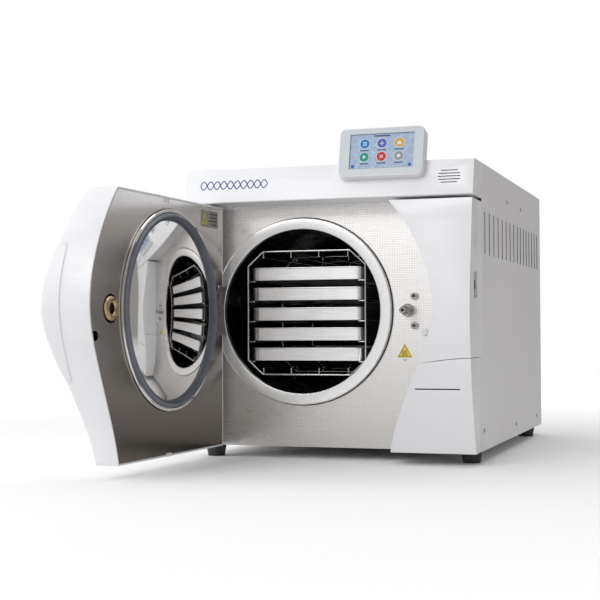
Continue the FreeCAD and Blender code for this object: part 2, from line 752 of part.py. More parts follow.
FIXED = [base_chassis, front_plate, top_cover, rear_panel, rubber_feet, panel_screws, header_fascia, display_housing,
         touch_glass, lcd_module, column_fascia, printer_unit, chamber_flange, chamber_insulation, heater_band,
         clean_water_tank, used_water_tank, lid_hinge, steam_generator, vacuum_pump, condenser, fan_housing,
         valve_block, main_circuit_board, power_supply, air_filter, lock_gearmotor, mains_inlet, drain_ports,
         spindle_bush, lock_screws, switch_body, warning_label, hinge_bracket, hinge_pin]
MOVING = [printer_cover, paper_roll, filler_lid, fan_rotor, mains_rocker, lock_spindle, door_switch_pin, rack_frames,
          rack_rails]
ON_DOOR = [door_shell, door_inner_panel, door_arm, pressure_plate, door_gasket, lock_nut, door_label]


def main():
    os.makedirs("parts", exist_ok=True)
    for build in FIXED + MOVING:
        save(build.__name__, build())
    for build in ON_DOOR:
        save_on_door(build.__name__, build())
    save("left_side_panel", side_panel(-1))
    save("right_side_panel", side_panel(1))
    vessel = chamber_vessel()
    save("safety_valve", safety_valve().cut(vessel))
    save("steam_pipes", steam_pipes().cut(vessel))
    save("chamber_vessel", vessel)
    for n, bottom in enumerate(TRAY_BOTTOMS, 1):
        save("tray_" + str(n), tray(bottom))


main()
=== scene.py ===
import bmesh
import bpy
import json
import math
from mathutils import Matrix, Vector
from mathutils.bvhtree import BVHTree

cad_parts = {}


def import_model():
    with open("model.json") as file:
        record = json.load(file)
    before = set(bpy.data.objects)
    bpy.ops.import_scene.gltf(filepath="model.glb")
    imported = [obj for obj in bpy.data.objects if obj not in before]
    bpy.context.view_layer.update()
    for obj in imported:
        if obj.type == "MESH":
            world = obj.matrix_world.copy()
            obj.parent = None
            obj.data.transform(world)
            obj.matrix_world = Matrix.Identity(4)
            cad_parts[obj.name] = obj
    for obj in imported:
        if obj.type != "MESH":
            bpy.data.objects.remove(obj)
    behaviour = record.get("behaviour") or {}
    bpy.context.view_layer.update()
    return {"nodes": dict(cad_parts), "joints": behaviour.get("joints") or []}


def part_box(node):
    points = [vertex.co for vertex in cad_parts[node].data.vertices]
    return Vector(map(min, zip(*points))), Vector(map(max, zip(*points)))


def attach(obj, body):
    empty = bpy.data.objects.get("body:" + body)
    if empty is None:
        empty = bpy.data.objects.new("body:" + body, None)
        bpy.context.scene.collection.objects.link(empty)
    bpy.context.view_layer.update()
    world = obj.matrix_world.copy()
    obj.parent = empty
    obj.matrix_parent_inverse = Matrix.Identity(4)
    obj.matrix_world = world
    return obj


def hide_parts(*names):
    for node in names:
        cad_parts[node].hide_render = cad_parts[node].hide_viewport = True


# Looks of the benchtop autoclave, in metres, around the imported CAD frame.

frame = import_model()
MM = 0.001


# ---------------------------------------------------------------- places read from the frame

def middle(node):
    low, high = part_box(node)
    return (low + high) / 2


def joint(name):
    return next(j for j in frame["joints"] if j["name"] == name)


FLANGE_LOW, FLANGE_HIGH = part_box("chamber_flange")
CHAMBER = Vector(((FLANGE_LOW.x + FLANGE_HIGH.x) / 2, 0, (FLANGE_LOW.z + FLANGE_HIGH.z) / 2))
FLANGE_Y = FLANGE_LOW.y
PLATE_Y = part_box("front_plate")[0].y
LOCK = middle("lock_spindle")
HINGE = joint("door_hinge")
HINGE_AT = Vector(HINGE["pos_m"])
# A piece of the door is drawn closed, and this carries it to where the door stands at rest.
OPENED = (Matrix.Translation(HINGE_AT)
          @ Matrix.Rotation(math.radians(-HINGE["range_deg"][0]), 4, Vector(HINGE["axis"]))
          @ Matrix.Translation(-HINGE_AT))
PANEL_Y = -20.0 * MM
DOME_R = 412.0
GLASS_LOW, GLASS_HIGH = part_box("touch_glass")
GLASS_TILT = math.radians(13.4)
GLASS_T = 1.0 * MM
TRAYS = ["tray_" + str(n) for n in range(1, 6)]


# ---------------------------------------------------------------- mesh helpers

def new_object(name, mesh):
    obj = bpy.data.objects.new(name, mesh)
    bpy.context.scene.collection.objects.link(obj)
    return obj


def from_lists(name, verts, faces, smooth=True):
    mesh = bpy.data.meshes.new(name)
    mesh.from_pydata([tuple(v) for v in verts], [], faces)
    mesh.update()
    if smooth:
        mesh.shade_smooth()
    return new_object(name, mesh)


def recalc(obj):
    bm = bmesh.new()
    bm.from_mesh(obj.data)
    bmesh.ops.remove_doubles(bm, verts=bm.verts, dist=1e-7)
    bmesh.ops.recalc_face_normals(bm, faces=bm.faces)
    bm.to_mesh(obj.data)
    bm.free()
    return obj


def apply_modifiers(obj):
    depsgraph = bpy.context.evaluated_depsgraph_get()
    mesh = bpy.data.meshes.new_from_object(obj.evaluated_get(depsgraph))
    obj.modifiers.clear()
    obj.data = mesh
    return obj


def smooth_by_angle(obj, degrees=32):
    obj.data.shade_smooth()
    obj.data.set_sharp_from_angle(angle=math.radians(degrees))
    return obj


def bevelled(obj, width, segments=3, degrees=30):
    mod = obj.modifiers.new("bevel", "BEVEL")
    mod.width = width
    mod.segments = segments
    mod.limit_method = "ANGLE"
    mod.angle_limit = math.radians(degrees)
    mod.use_clamp_overlap = True
    mod.harden_normals = True
    obj.data.shade_smooth()
    return apply_modifiers(obj)


def lathe(name, profile, x, z, segments=160):
    """Turns a closed profile of (radius, Y) in millimetres about the line along Y through (x, z)."""
    rings = []
    verts = []
    for r, y in profile:
        start = len(verts)
        if r < 1e-6:
            verts.append(Vector((x, y * MM, z)))
            rings.append([start] * segments)
            continue
        for n in range(segments):
            a = 2 * math.pi * n / segments
            verts.append(Vector((x + r * MM * math.cos(a), y * MM, z + r * MM * math.sin(a))))
        rings.append(list(range(start, start + segments)))
    faces = []
    for one, two in zip(rings, rings[1:] + rings[:1]):
        for n in range(segments):
            m = (n + 1) % segments
            face = list(dict.fromkeys((one[n], one[m], two[m], two[n])))
            if len(face) > 2:
                faces.append(face)
    return smooth_by_angle(recalc(from_lists(name, verts, faces)), 28)


def arc_points(cx, cy, radius, start, end, count):
    steps = [math.radians(start + (end - start) * n / count) for n in range(count + 1)]
    return [(cx + radius * math.cos(a), cy + radius * math.sin(a)) for a in steps]


def circle(radius, steps=40):
    return arc_points(0, 0, radius, 0, 360 - 360 / steps, steps - 1)


def hexagon(radius):
    corners = [math.radians(60 * n) for n in range(6)]
    return [(radius * math.cos(a), radius * math.sin(a)) for a in corners]


def in_mm(outline):
    """An outline that was given in millimetres, as metres."""
    return [(u * MM, v * MM) for u, v in outline]


def facing_front(x, y, z):
    """Matrix that stands a flat outline upright at this place, looking forwards."""
    return Matrix.Translation((x, y, z)) @ Matrix.Rotation(math.radians(90), 4, "X")


def slab(name, outline, thickness, place):
    """A flat plate with this outline, from local Z = 0 up to its thickness, put down by a matrix."""
    n = len(outline)
    verts = [Vector((u, v, 0)) for u, v in outline] + [Vector((u, v, thickness)) for u, v in outline]
    faces = [list(range(n))[::-1], list(range(n, 2 * n))]
    faces += [[i, (i + 1) % n, n + (i + 1) % n, n + i] for i in range(n)]
    obj = from_lists(name, [place @ v for v in verts], faces, smooth=False)
    return smooth_by_angle(recalc(obj), 40)


def framed_slab(name, outer, inner, thickness, place):
    """A slab with a window: both outlines have the same number of points."""
    n = len(outer)
    verts = [Vector((u, v, w)) for w in (0, thickness) for loop in (outer, inner) for u, v in loop]
    faces = []
    for i in range(n):
        j = (i + 1) % n
        faces += [[i, j, n + j, n + i], [2 * n + i, 3 * n + i, 3 * n + j, 2 * n + j],
                  [i, 2 * n + i, 2 * n + j, j], [n + i, n + j, 3 * n + j, 3 * n + i]]
    obj = from_lists(name, [place @ v for v in verts], faces, smooth=False)
    return smooth_by_angle(recalc(obj), 40)


def rounded_rectangle(width, height, radius, steps=6):
    points = []
    for cx, cy, start in ((1, 1, 0), (-1, 1, 90), (-1, -1, 180), (1, -1, 270)):
        centre = (cx * (width / 2 - radius), cy * (height / 2 - radius))
        points += arc_points(*centre, radius, start, start + 90, steps)
    return points


def tube(name, points, radius, closed=False):
    """A round wire through the points."""
    curve = bpy.data.curves.new(name, "CURVE")
    curve.dimensions = "3D"
    spline = curve.splines.new("POLY")
    spline.points.add(len(points) - 1)
    for p, v in zip(spline.points, points):
        p.co = (*v, 1)
    spline.use_cyclic_u = closed
    curve.bevel_depth = radius
    curve.bevel_resolution = 3
    curve.use_fill_caps = True
    obj = new_object(name, curve)
    mesh = bpy.data.meshes.new_from_object(obj.evaluated_get(bpy.context.evaluated_depsgraph_get()))
    bpy.data.objects.remove(obj)
    mesh.shade_smooth()
    return new_object(name, mesh)


def joined(name, pieces):
    bm = bmesh.new()
    for piece in pieces:
        bm.from_mesh(piece.data)
        bpy.data.objects.remove(piece)
    mesh = bpy.data.meshes.new(name)
    bm.to_mesh(mesh)
    bm.free()
    return smooth_by_angle(new_object(name, mesh), 35)


def moved(obj, matrix):
    obj.data.transform(matrix)
    obj.data.update()
    return obj


def finish_piece(obj, body, mat, slot, *replaced):
    obj.data.materials.clear()
    obj.data.materials.append(mat)
    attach(obj, body)
    if replaced:
        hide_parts(*replaced)
    return obj


def softened(node, body, mat, slot, width):
    """A copy of a CAD shell with its hard edges rounded, standing for the node."""
    mesh = frame["nodes"][node].data.copy()
    bm = bmesh.new()
    bm.from_mesh(mesh)
    bmesh.ops.remove_doubles(bm, verts=bm.verts, dist=2e-6)
    bmesh.ops.dissolve_limit(bm, angle_limit=math.radians(1.0), verts=bm.verts, edges=bm.edges)
    bm.to_mesh(mesh)
    bm.free()
    mesh.materials.clear()
    obj = new_object(node + "_soft", mesh)
    return finish_piece(bevelled(obj, width), body, mat, slot, node)


# ---------------------------------------------------------------- materials

class Shader:
    """A Principled material whose extra nodes are added by the methods below."""

    def __init__(self, name, color, roughness, metallic=0.0, **sockets):
        self.mat = bpy.data.materials.new(name)
        self.mat.use_nodes = True
        self.nodes = self.mat.node_tree.nodes
        self.links = self.mat.node_tree.links
        self.bsdf = self.nodes["Principled BSDF"]
        self.color = color
        self.set("Base Color", (*color, 1))
        self.set("Roughness", roughness)
        self.set("Metallic", metallic)
        for key, value in sockets.items():
            self.set(key.replace("_", " "), value)
        self.coords = self.nodes.new("ShaderNodeTexCoord").outputs["Object"]
        self.bumps = None

    def set(self, socket, value):
        self.bsdf.inputs[socket].default_value = value

    def noise(self, scale, detail=2.0, stretch=(1, 1, 1)):
        mapping = self.nodes.new("ShaderNodeMapping")
        mapping.inputs["Scale"].default_value = stretch
        self.links.new(self.coords, mapping.inputs["Vector"])
        tex = self.nodes.new("ShaderNodeTexNoise")
        tex.inputs["Scale"].default_value = scale
        tex.inputs["Detail"].default_value = detail
        self.links.new(mapping.outputs["Vector"], tex.inputs["Vector"])
        return tex.outputs["Fac"]

    def bands(self, direction, scale):
        tex = self.nodes.new("ShaderNodeTexWave")
        tex.bands_direction = direction
        tex.inputs["Scale"].default_value = scale
        self.links.new(self.coords, tex.inputs["Vector"])
        return tex.outputs["Fac"]

    def math(self, kind, a, b):
        node = self.nodes.new("ShaderNodeMath")
        node.operation = kind
        for socket, value in zip(node.inputs, (a, b)):
            if isinstance(value, (int, float)):
                socket.default_value = value
            else:
                self.links.new(value, socket)
        return node.outputs[0]

    def ramp(self, fac, low, high, start=0.35, end=0.65):
        node = self.nodes.new("ShaderNodeMapRange")
        node.inputs["From Min"].default_value = start
        node.inputs["From Max"].default_value = end
        node.inputs["To Min"].default_value = low
        node.inputs["To Max"].default_value = high
        self.links.new(fac, node.inputs["Value"])
        return node.outputs["Result"]

    def vary_color(self, fac, other, start=0.35, end=0.65):
        """Blends the base colour towards another where fac runs from start to end."""
        mix = self.nodes.new("ShaderNodeMix")
        mix.data_type = "RGBA"
        self.links.new(self.ramp(fac, 0.0, 1.0, start, end), mix.inputs["Factor"])
        base = self.bsdf.inputs["Base Color"]
        if base.is_linked:
            self.links.new(base.links[0].from_socket, mix.inputs["A"])
        else:
            mix.inputs["A"].default_value = (*self.color, 1)
        mix.inputs["B"].default_value = (*other, 1)
        self.links.new(mix.outputs["Result"], base)
        return self

    def vary_roughness(self, fac, low, high):
        self.links.new(self.ramp(fac, low, high), self.bsdf.inputs["Roughness"])
        return self

    def bump(self, height, strength, distance):
        node = self.nodes.new("ShaderNodeBump")
        node.inputs["Strength"].default_value = strength
        node.inputs["Distance"].default_value = distance
        self.links.new(height, node.inputs["Height"])
        if self.bumps:
            self.links.new(self.bumps, node.inputs["Normal"])
        self.bumps = node.outputs["Normal"]
        self.links.new(self.bumps, self.bsdf.inputs["Normal"])
        return self

    def radial(self, x, z):
        """Distance from the line along Y through (x, z)."""
        parts = self.nodes.new("ShaderNodeSeparateXYZ")
        self.links.new(self.coords, parts.inputs[0])
        dx = self.math("SUBTRACT", parts.outputs["X"], x)
        dz = self.math("SUBTRACT", parts.outputs["Z"], z)
        total = self.math("ADD", self.math("MULTIPLY", dx, dx), self.math("MULTIPLY", dz, dz))
        return self.math("SQRT", total, 0.0)

    def axis(self, name):
        parts = self.nodes.new("ShaderNodeSeparateXYZ")
        self.links.new(self.coords, parts.inputs[0])
        return parts.outputs[name]


def white_plastic():
    s = Shader("satin_white_plastic", (0.80, 0.805, 0.82), 0.33, Coat_Weight=0.25, Coat_Roughness=0.22)
    s.vary_color(s.noise(6.0), (0.775, 0.78, 0.80))
    s.vary_roughness(s.noise(900.0), 0.30, 0.40)
    return s.bump(s.noise(1600.0, 1.0), 0.10, 0.0001).mat


def grey_paint():
    s = Shader("powder_coat", (0.84, 0.835, 0.835), 0.48)
    s.vary_color(s.noise(4.0), (0.815, 0.81, 0.81))
    s.vary_roughness(s.noise(500.0), 0.42, 0.55)
    return s.bump(s.noise(700.0, 2.0), 0.22, 0.0002).mat


def linen_steel():
    """Stainless sheet embossed with a fine square grid, with painted reflections: darker towards its lower
    edge and in a dark strip beside the hinge.
    """
    s = Shader("linen_steel", (0.92, 0.90, 0.88), 0.30, 1.0)
    across, up = s.bands("X", 121.0), s.bands("Z", 121.0)
    grid = s.math("MULTIPLY", across, up)
    # painted reflection: the sheet darkens towards its lower edge
    s.vary_color(s.axis("Z"), (0.56, 0.54, 0.52), 0.22, 0.03)
    # painted reflection: a dark strip along the sheet beside the hinge
    s.vary_color(s.axis("X"), (0.20, 0.175, 0.155), -0.174, -0.192)
    s.vary_color(grid, (0.60, 0.585, 0.57), 0.24, -0.06)
    s.vary_roughness(s.noise(60.0, 3.0, (1, 1, 6)), 0.27, 0.35)
    return s.bump(grid, 0.05, 0.0001).mat


def brushed(name, color, roughness, stretch, anisotropic=0.4):
    s = Shader(name, color, roughness, 1.0, Anisotropic=anisotropic)
    darker = tuple(c * 0.86 for c in color)
    grain = s.noise(90.0, 4.0, stretch)
    s.vary_color(grain, darker)
    s.vary_roughness(grain, roughness * 0.85, roughness * 1.2)
    return s.bump(grain, 0.08, 0.0002)


def door_steel():
    """Satin sheet with a painted reflection: darker and warmer towards its lower end."""
    s = brushed("door_steel", (0.84, 0.82, 0.80), 0.22, (1, 14, 1), 0.3)
    # painted reflection: two ramps darken and warm the sheet towards its lower end
    s.vary_color(s.axis("Z"), (0.50, 0.47, 0.44), 0.375, 0.30)
    s.vary_color(s.axis("Z"), (0.17, 0.15, 0.125), 0.26, 0.03)
    return s.mat


def ring_steel():
    """Face turned on a lathe, with fine rings."""
    s = Shader("turned_ring", (0.90, 0.895, 0.885), 0.20, 1.0, Anisotropic=0.5)
    radius = s.radial(CHAMBER.x, CHAMBER.z)
    wave = s.math("SINE", s.math("MULTIPLY", radius, 4200.0), 0.0)
    s.vary_color(wave, (0.84, 0.835, 0.825), -1.0, 1.0)
    s.vary_roughness(s.noise(12.0, 2.0), 0.24, 0.30)
    return s.bump(wave, 0.02, 0.00005).mat


def mirror_steel():
    s = Shader("mirror_polish", (0.84, 0.83, 0.815), 0.035, 1.0)
    s.vary_roughness(s.noise(25.0, 4.0), 0.02, 0.06)
    return s.bump(s.noise(14.0, 1.0), 0.03, 0.0012).mat


def chamber_steel():
    """Inside of the chamber: a near-black base colour as painted shade, with lighter streaks along its length
    as painted reflections.
    """
    # painted shade: the polished steel is given a near-black base colour
    s = Shader("chamber_inside", (0.085, 0.08, 0.072), 0.24, 1.0)
    # painted reflections: lighter streaks stretched along the chamber's length
    s.vary_color(s.noise(22.0, 5.0, (1, 0.25, 1)), (0.30, 0.285, 0.26), 0.60, 0.72)
    s.vary_roughness(s.noise(30.0, 3.0), 0.18, 0.36)
    return s.bump(s.noise(18.0, 2.0), 0.10, 0.002).mat


def gasket_rubber():
    s = Shader("silicone_gasket", (0.125, 0.14, 0.17), 0.30, Coat_Weight=0.3, Coat_Roughness=0.25)
    s.vary_color(s.noise(45.0, 3.0), (0.155, 0.175, 0.21))
    s.vary_roughness(s.noise(220.0), 0.30, 0.46)
    return s.bump(s.noise(500.0), 0.10, 0.0002).mat


def brass():
    s = Shader("machined_brass", (0.58, 0.46, 0.27), 0.24, 1.0)
    s.vary_color(s.noise(160.0, 3.0), (0.40, 0.30, 0.17))
    s.vary_roughness(s.noise(300.0), 0.18, 0.36)
    return s.bump(s.noise(700.0), 0.12, 0.0002).mat


def rubber():
    s = Shader("moulded_rubber_and_painted_shade", (0.018, 0.018, 0.019), 0.62)
    s.vary_color(s.noise(120.0, 3.0), (0.035, 0.035, 0.036))
    return s.bump(s.noise(900.0), 0.3, 0.0003).mat


def plastic(name, color, roughness):
    s = Shader(name, color, roughness)
    s.vary_color(s.noise(80.0), tuple(c * 0.85 for c in color))
    return s.bump(s.noise(1200.0), 0.15, 0.0002).mat


def tray_metal():
    """Satin anodised sheet with a fine grain."""
    s = Shader("tray_metal", (0.86, 0.855, 0.85), 0.34, 1.0)
    grain = s.noise(120.0, 3.0, (0.2, 1, 6))
    s.vary_color(grain, (0.76, 0.755, 0.75))
    s.vary_roughness(s.noise(60.0, 2.0), 0.28, 0.42)
    return s.bump(grain, 0.05, 0.0002).mat


def wire_metal():
    s = Shader("rack_wire", (0.52, 0.51, 0.49), 0.16, 1.0)
    s.vary_roughness(s.noise(200.0), 0.10, 0.25)
    return s.bump(s.noise(400.0), 0.08, 0.0002).mat


def glowing(name, color, strength):
    """A lit area of the display, under glass."""
    s = Shader(name, color, 0.30, Specular_IOR_Level=0.15)
    s.set("Emission Color", (*color, 1))
    s.set("Emission Strength", strength)
    return s


def lcd_background():
    s = glowing("lcd_background", (0.31, 0.40, 0.53), 0.04)
    cells = s.nodes.new("ShaderNodeTexVoronoi")
    cells.feature = "DISTANCE_TO_EDGE"
    cells.inputs["Scale"].default_value = 95.0
    s.links.new(s.coords, cells.inputs["Vector"])
    s.vary_color(cells.outputs["Distance"], (0.46, 0.54, 0.64), 0.05, 0.0)
    s.links.new(s.bsdf.inputs["Base Color"].links[0].from_socket, s.bsdf.inputs["Emission Color"])
    return s.mat


WHITE = white_plastic()
PAINT = grey_paint()
LINEN = linen_steel()
STEEL = brushed("brushed_steel", (0.42, 0.41, 0.40), 0.24, (1, 6, 1)).mat
DOOR_STEEL = door_steel()
RING = ring_steel()
MIRROR = mirror_steel()
CHAMBER_STEEL = chamber_steel()
GASKET = gasket_rubber()
BRASS = brass()
# rubber of the feet and the seal line; also painted shade in the screw sockets
RUBBER_AND_SHADE_BLACK = rubber()
BLACK = plastic("black_plastic", (0.03, 0.03, 0.032), 0.5)
DARK_METAL = plastic("dark_enamel", (0.07, 0.075, 0.085), 0.4)
TRAY = tray_metal()
WIRE = wire_metal()
COPPER = brushed("copper_tube", (0.72, 0.42, 0.27), 0.25, (1, 1, 1)).mat
ALUMINIUM = brushed("mill_aluminium", (0.74, 0.74, 0.75), 0.35, (8, 1, 1)).mat
WOOL = plastic("glass_wool", (0.72, 0.68, 0.55), 0.95)
TANK = plastic("tank_plastic", (0.68, 0.74, 0.78), 0.45)
BOARD = plastic("circuit_board", (0.04, 0.22, 0.10), 0.4)
PRINTER = plastic("printer_plastic", (0.10, 0.10, 0.11), 0.5)
PAPER = plastic("thermal_paper", (0.88, 0.88, 0.86), 0.8)
BEZEL = Shader("pearl_bezel", (0.44, 0.48, 0.50), 0.30, Coat_Weight=0.3, Coat_Roughness=0.15).mat
LCD = lcd_background()
YELLOW = plastic("label_yellow", (0.80, 0.62, 0.03), 0.35)
# black print on the labels; also painted shade in the lock nut's throat
INK_AND_SHADE_BLACK = plastic("label_black_and_painted_shade", (0.03, 0.025, 0.02), 0.4)
LABEL = plastic("label_film", (0.30, 0.28, 0.25), 0.4)
GREEN_INK = plastic("label_green", (0.30, 0.42, 0.10), 0.4)
BLUE_INK = plastic("badge_blue", (0.030, 0.095, 0.40), 0.35)

NODE_MATERIALS = {
    "header_fascia": WHITE, "column_fascia": WHITE, "printer_cover": WHITE, "door_shell": WHITE,
    "display_housing": WHITE, "filler_lid": WHITE, "lid_hinge": WHITE, "door_switch_pin": WHITE,
    "left_side_panel": PAINT, "right_side_panel": PAINT, "top_cover": PAINT, "rear_panel": PAINT,
    "base_chassis": PAINT, "front_plate": LINEN, "chamber_vessel": CHAMBER_STEEL, "hinge_bracket": STEEL,
    "door_arm": STEEL, "steam_generator": STEEL, "lock_spindle": STEEL, "spindle_bush": STEEL,
    "panel_screws": STEEL, "lock_screws": STEEL, "hinge_pin": STEEL, "power_supply": ALUMINIUM,
    "door_inner_panel": DOOR_STEEL, "chamber_flange": RING, "pressure_plate": MIRROR, "rack_frames": WIRE,
    "rack_rails": WIRE, "door_gasket": GASKET, "lock_nut": BRASS, "valve_block": BRASS, "safety_valve": BRASS,
    "drain_ports": BRASS, "steam_pipes": COPPER, "rubber_feet": RUBBER_AND_SHADE_BLACK, "fan_housing": BLACK,
    "fan_rotor": BLACK, "mains_inlet": BLACK, "mains_rocker": BLACK, "switch_body": BLACK,
    "air_filter": BLACK, "vacuum_pump": DARK_METAL, "lock_gearmotor": DARK_METAL, "condenser": ALUMINIUM,
    "heater_band": ALUMINIUM, "chamber_insulation": WOOL, "clean_water_tank": TANK, "used_water_tank": TANK,
    "main_circuit_board": BOARD, "touch_glass": LCD, "lcd_module": BLACK, "printer_unit": PRINTER,
    "paper_roll": PAPER, "warning_label": YELLOW, "door_label": LABEL,
    **{tray: TRAY for tray in TRAYS},
}


def paint_nodes():
    for node, mat in NODE_MATERIALS.items():
        data = frame["nodes"][node].data
        data.materials.clear()
        data.materials.append(mat)


# ---------------------------------------------------------------- shells and panels

def shells():
    softened("header_fascia", "cabinet", WHITE, "white_shell", 0.0012)
    softened("column_fascia", "cabinet", WHITE, "white_shell", 0.0009)
    softened("printer_cover", "printer_cover", WHITE, "white_shell", 0.0009)
    softened("door_shell", "door", WHITE, "white_shell", 0.0010)
    softened("filler_lid", "filler_lid", WHITE, "white_shell", 0.0012)


# ---------------------------------------------------------------- chamber

def flange_ring():
    """Ring face with rounded lips, and the dark seal line round it."""
    y, back = FLANGE_Y / MM, PLATE_Y / MM
    inner, outer = 125.0, 142.0
    lip = arc_points(inner + 1.2, y + 1.2, 1.2, 180, 270, 5) + arc_points(outer - 2, y + 2, 2, 270, 360, 6)
    profile = lip + [(outer, back), (134, back), (134, 16), (128, 16), (128, back), (inner, back)]
    ring = lathe("flange_ring", profile, CHAMBER.x, CHAMBER.z, 220)
    finish_piece(ring, "cabinet", RING, "ring_steel", "chamber_flange")
    seal = [(outer + 0.1, back - 0.6), (outer + 1.6, back - 0.6), (outer + 1.6, back), (outer + 0.1, back)]
    line = lathe("flange_seal_line", seal, CHAMBER.x, CHAMBER.z, 220)
    finish_piece(line, "cabinet", RUBBER_AND_SHADE_BLACK, "black_rubber")


def vessel():
    """The chamber's wall and dished end, fine enough to reflect smoothly."""
    bore, wall, end = 125.0, 128.0, 410.0
    dish = [(wall, 0), (118, 22), (90, 36), (50, 44), (0, 46)]
    outer = [(r, end + y) for r, y in dish]
    inner = [(max(r - 3, 0), end + y - (3 if y else 0)) for r, y in dish]
    profile = [(wall, PLATE_Y / MM)] + outer + inner[::-1] + [(bore, PLATE_Y / MM)]
    finish_piece(lathe("vessel_wall", profile, CHAMBER.x, CHAMBER.z, 200), "cabinet", CHAMBER_STEEL,
                 "brushed_steel", "chamber_vessel")


# ---------------------------------------------------------------- door

def pressure_plate():
    edge, crown = PANEL_Y / MM + 2.0, 126.0
    sink = math.sqrt(DOME_R ** 2 - crown ** 2)
    radii = [crown * n / 40 for n in range(41)]
    dome = [(r, edge - sink + math.sqrt(DOME_R ** 2 - r ** 2)) for r in radii]
    groove = [(127.4, -18.4), (128, -18.6), (128, -24), (137.6, -24), (137.6, -17.0)]
    rim = groove + [(138.2, -16.4), (141.0, -16.4), (142.2, -17.6), (142.2, -28)]
    rim += [(100, -28), (94, -19), (50, -15), (41, -15), (41, -28), (0, -28)]
    plate = lathe("pressure_plate_polished", dome + rim, CHAMBER.x, CHAMBER.z, 240)
    finish_piece(moved(plate, OPENED), "door", MIRROR, "mirror_steel", "pressure_plate")


def gasket():
    """Silicone ring with a rounded bead and a thin inner lip."""
    bead = arc_points(133.2, -15.4, 3.0, 0, 180, 14)
    lip = [(129.9, -16.2), (129.5, -13.8), (128.8, -14.0), (128.4, -24)]
    profile = [(137.2, -24), (137.2, -17.4), (136.4, -16.6)] + bead + lip
    ring = lathe("gasket_ring", profile, CHAMBER.x, CHAMBER.z, 240)
    finish_piece(moved(ring, OPENED), "door", GASKET, "gasket", "door_gasket")


def lock_nut():
    """Brass nut: a rounded collar almost flush with the panel, with a threaded throat lined in black as
    painted shade.
    """
    pitch, crest, root, liner = 1.6, 6.9, 7.6, 7.95
    thread = []
    for n in range(12):
        y = -22.0 - n * pitch
        thread += [(crest, y), (root, y - pitch / 2)]
    crown = arc_points(11.7, -20.6, 4.8, 5, 175, 22)
    profile = [(12, -50), (12, -22), (16.4, -22), (16.5, -20.6)] + crown + [(8, -20.6), (8, -50)]
    nut = lathe("lock_nut_turned", profile, LOCK.x, LOCK.z, 96)
    finish_piece(moved(nut, OPENED), "door", BRASS, "brass", "lock_nut")
    # painted shade: the throat is a black lining that stands for the shade inside the bore
    profile = [(liner, -18.4), (crest, -18.8)] + thread + [(crest, -49), (liner, -49)]
    throat = lathe("nut_throat", profile, LOCK.x, LOCK.z, 72)
    finish_piece(moved(throat, OPENED), "door", INK_AND_SHADE_BLACK, "brass")


GRIP_FOOT, GRIP_TALL = 0.126, 0.184
GRIP_ROWS = 36
GRIP_CORNER = 3 * MM


def closed_door_tree():
    """The CAD door shell in its closed place, ready for ray casts."""
    bm = bmesh.new()
    bm.from_mesh(frame["nodes"]["door_shell"].data)
    bm.transform(OPENED.inverted())
    tree = BVHTree.FromBMesh(bm)
    bm.free()
    return tree


def grip_section(tree, t):
    """One level section of the wing, as (x, y) pairs: t runs from 0 at its foot to 1 at its top."""
    z = GRIP_FOOT + GRIP_TALL * t

    def front_at(x):
        return tree.ray_cast(Vector((x, -0.3, z)), Vector((0, 1, 0)))[0].y

    x = tree.ray_cast(Vector((0.3, -0.045, z)), Vector((-1, 0, 0)))[0].x
    y = front_at(x - GRIP_CORNER)
    ramp = math.sqrt(max(0.0, min(1.0, min(t, 1 - t) / 0.07)))
    out = 0.2 * MM + 1.1 * MM * ramp
    lift = 0.3 * MM + 5.2 * MM * math.sin(math.pi * t) ** 0.6
    section = [(x - 0.6 * MM, -0.0625), (x + out, -0.0640)]
    for a in [math.radians(15 * k) for k in range(7)]:
        section.append((x + out - GRIP_CORNER * (1 - math.cos(a)),
                        y + GRIP_CORNER - lift - GRIP_CORNER * math.sin(a)))
    section.append((x - 16 * MM, front_at(x - 16 * MM) - 1.1 * lift))
    section.append((x - 38 * MM, front_at(x - 38 * MM) - 0.6 * MM))
    section.append((x - 40 * MM, front_at(x - 40 * MM) + 1 * MM))
    section.append((x - 2 * MM, y + 1.4 * MM))
    return [Vector((u, v, z)) for u, v in section]


def grip_wrap():
    """The grip panel's wing, which runs on over the rounded free edge as a low ledge."""
    tree = closed_door_tree()
    rows = GRIP_ROWS
    verts = [v for n in range(rows + 1) for v in grip_section(tree, n / rows)]
    count = len(verts) // (rows + 1)
    faces = []
    for n in range(rows):
        for k in range(count):
            a, b = n * count + k, n * count + (k + 1) % count
            faces.append([a, b, b + count, a + count])
    faces += [list(range(count)), list(range(rows * count, (rows + 1) * count))[::-1]]
    wrap = smooth_by_angle(recalc(from_lists("grip_wrap", verts, faces)), 35)
    finish_piece(moved(wrap, OPENED), "door", WHITE, "white_shell")


# ---------------------------------------------------------------- lock on the cabinet

def spindle():
    """Threaded spindle: shoulder, thread on the tip and a drive socket."""
    thread = []
    for n in range(10):
        y = -28.6 - n * 1.2
        thread += [(5.3, y), (4.75, y - 0.6)]
    profile = [(0, 54), (5, 54), (5, -12.3), (6.3, -12.6), (6.3, -26.5), (5.9, -27)] + thread
    profile += [(5.3, -40.9), (4.6, -42), (2.6, -42), (2.6, -36), (0, -36)]
    turned = lathe("spindle_turned", profile, LOCK.x, LOCK.z, 64)
    finish_piece(turned, "lock_spindle", STEEL, "brushed_steel", "lock_spindle")
    face = PLATE_Y / MM
    profile = [(5.05, 14), (7, 14), (7, face), (9.75, face), (9.75, -10.6), (8.6, -12), (5.05, -12)]
    collar = lathe("spindle_collar", profile, LOCK.x, LOCK.z, 64)
    finish_piece(collar, "cabinet", STEEL, "brushed_steel", "spindle_bush")


# ---------------------------------------------------------------- trays

